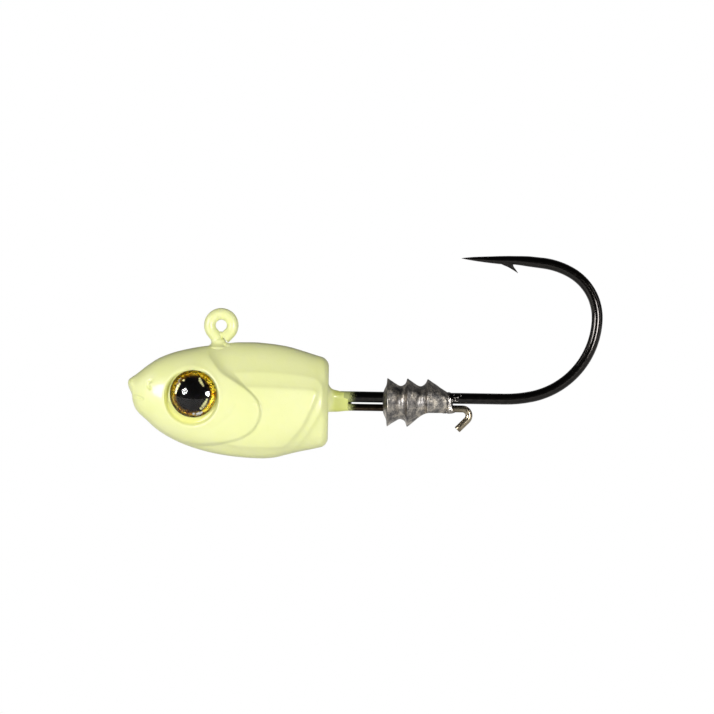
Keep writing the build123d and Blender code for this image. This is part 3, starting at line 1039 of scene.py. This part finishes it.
def make_camera():
    data = bpy.data.cameras.new("camera")
    data.sensor_width = 36
    data.lens = 36 * CAMERA_DISTANCE / VIEW_WIDTH
    data.clip_start, data.clip_end = 0.01, 10
    camera = bpy.data.objects.new("camera", data)
    SCENE.collection.objects.link(camera)
    right = Vector((math.cos(ROLL), 0, math.sin(ROLL)))
    up = Vector((-math.sin(ROLL), 0, math.cos(ROLL)))
    back = Vector((0, -1, 0))
    turn = Matrix((right, up, back)).transposed()
    camera.matrix_world = Matrix.Translation(PHOTO_CENTRE + back * CAMERA_DISTANCE) @ turn.to_4x4()
    SCENE.camera = camera


def area_light(name, place, target, size, power, shape="DISK", size_y=None):
    data = bpy.data.lights.new(name, "AREA")
    data.shape = shape
    data.size = size
    if size_y:
        data.size_y = size_y
    data.energy = power
    light = bpy.data.objects.new(name, data)
    SCENE.collection.objects.link(light)
    light.location = place
    light.rotation_euler = (Vector(target) - Vector(place)).to_track_quat("-Z", "Y").to_euler()
    return light


def make_world():
    """White to the camera; to the part, a dim grey backdrop behind it and a dim room in front."""
    world = bpy.data.worlds.new("studio")
    SCENE.world = world
    world.use_nodes = True
    tree = world.node_tree
    tree.nodes.clear()
    output = tree.nodes.new("ShaderNodeOutputWorld")
    place = tree.nodes.new("ShaderNodeTexCoord")
    split = tree.nodes.new("ShaderNodeSeparateXYZ")
    tree.links.new(place.outputs["Generated"], split.inputs[0])
    room = ramp(tree, span(tree, split.outputs["Z"], 0, 1, -1, 1), ROOM_TONES)
    behind = span(tree, split.outputs["Y"], 0.0, 1.0, 0.10, 0.45)
    tone = mix_colour(tree, behind, room, BACKDROP_TONE)
    soft = tree.nodes.new("ShaderNodeBackground")
    tree.links.new(tone, soft.inputs["Color"])
    soft.inputs["Strength"].default_value = 1.0
    white = tree.nodes.new("ShaderNodeBackground")
    white.inputs["Color"].default_value = (1, 1, 1, 1)
    white.inputs["Strength"].default_value = 1.0
    path = tree.nodes.new("ShaderNodeLightPath")
    mix = tree.nodes.new("ShaderNodeMixShader")
    tree.links.new(path.outputs["Is Camera Ray"], mix.inputs["Fac"])
    tree.links.new(soft.outputs[0], mix.inputs[1])
    tree.links.new(white.outputs[0], mix.inputs[2])
    tree.links.new(mix.outputs[0], output.inputs["Surface"])


def make_floor():
    """A pale table top under the part, with a soft mottled finish, glowing with painted light: weakly in
    front, more strongly behind.
    """
    material, tree, shader = new_material("pale_floor")
    grain = object_noise(tree, 0.4, detail=4.0)
    tone = ramp(tree, grain, [(0.3, (0.80, 0.80, 0.79)), (0.7, (0.86, 0.86, 0.85))])
    tree.links.new(tone, shader.inputs["Base Color"])
    shader.inputs["Roughness"].default_value = 0.7
    shader.inputs["Emission Color"].default_value = (1, 1, 1, 1)
    # Painted light: the table glows, weakly in front of the part and more strongly behind it.
    glow = span(tree, object_axis(tree, "Y"), 0.22, 0.62, 0.08, 0.30)
    tree.links.new(glow, shader.inputs["Emission Strength"])
    low = CAD_BOX[0].z / MM - FLOOR_DROP
    middle = PHOTO_CENTRE.x / MM
    count = FLOOR_ROWS
    points = [
        (middle + x, y, low) for y in np.linspace(*FLOOR_Y, count) for x in np.linspace(*FLOOR_X, count)
    ]
    faces = [
        (r * count + c, r * count + c + 1, (r + 1) * count + c + 1, (r + 1) * count + c)
        for r in range(count - 1) for c in range(count - 1)
    ]
    mesh = bpy.data.meshes.new("table_top")
    mesh.from_pydata((np.array(points) * MM).tolist(), [], faces)
    mesh.materials.append(material)
    table = bpy.data.objects.new("table_top", mesh)
    SCENE.collection.objects.link(table)


def direction(azimuth, height):
    """Unit vector from the part, in degrees: azimuth 0 is toward the camera, positive to its right."""
    a, e = math.radians(azimuth), math.radians(height)
    return Vector((math.sin(a) * math.cos(e), -math.cos(a) * math.cos(e), math.sin(e)))


def make_lights():
    """Two round lamps near camera height, seen as the catchlights in the eye, and two weak side strips."""
    target = Vector((-0.003, 0, -0.008))
    for name, azimuth, height, spread, radiance in LAMPS:
        away = direction(azimuth, height)
        width = 2 * LAMP_REACH * math.tan(math.radians(spread))
        power = radiance * math.pi * math.pi * width ** 2 / 4
        area_light(name, target + away * LAMP_REACH, target, width, power)
    for name, azimuth, height, tall in STRIPS:
        away = direction(azimuth, height)
        power = STRIP_RADIANCE * math.pi * STRIP_WIDTH * tall
        area_light(name, target + away * LAMP_REACH, target, STRIP_WIDTH, power, "RECTANGLE", tall)


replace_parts(make_head(), "head_casting")
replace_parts(make_hook(), "hook")
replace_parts(make_keeper_wire(), "keeper_wire")
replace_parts(make_collar(), "keeper_collar")
make_collar_tail()
make_ring_paint()
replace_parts(make_sleeve(), "paint_film")
make_eye(-1, "left")
make_eye(1, "right")

make_camera()
make_world()
make_floor()
make_lights()
SCENE.view_settings.view_transform = "Standard"
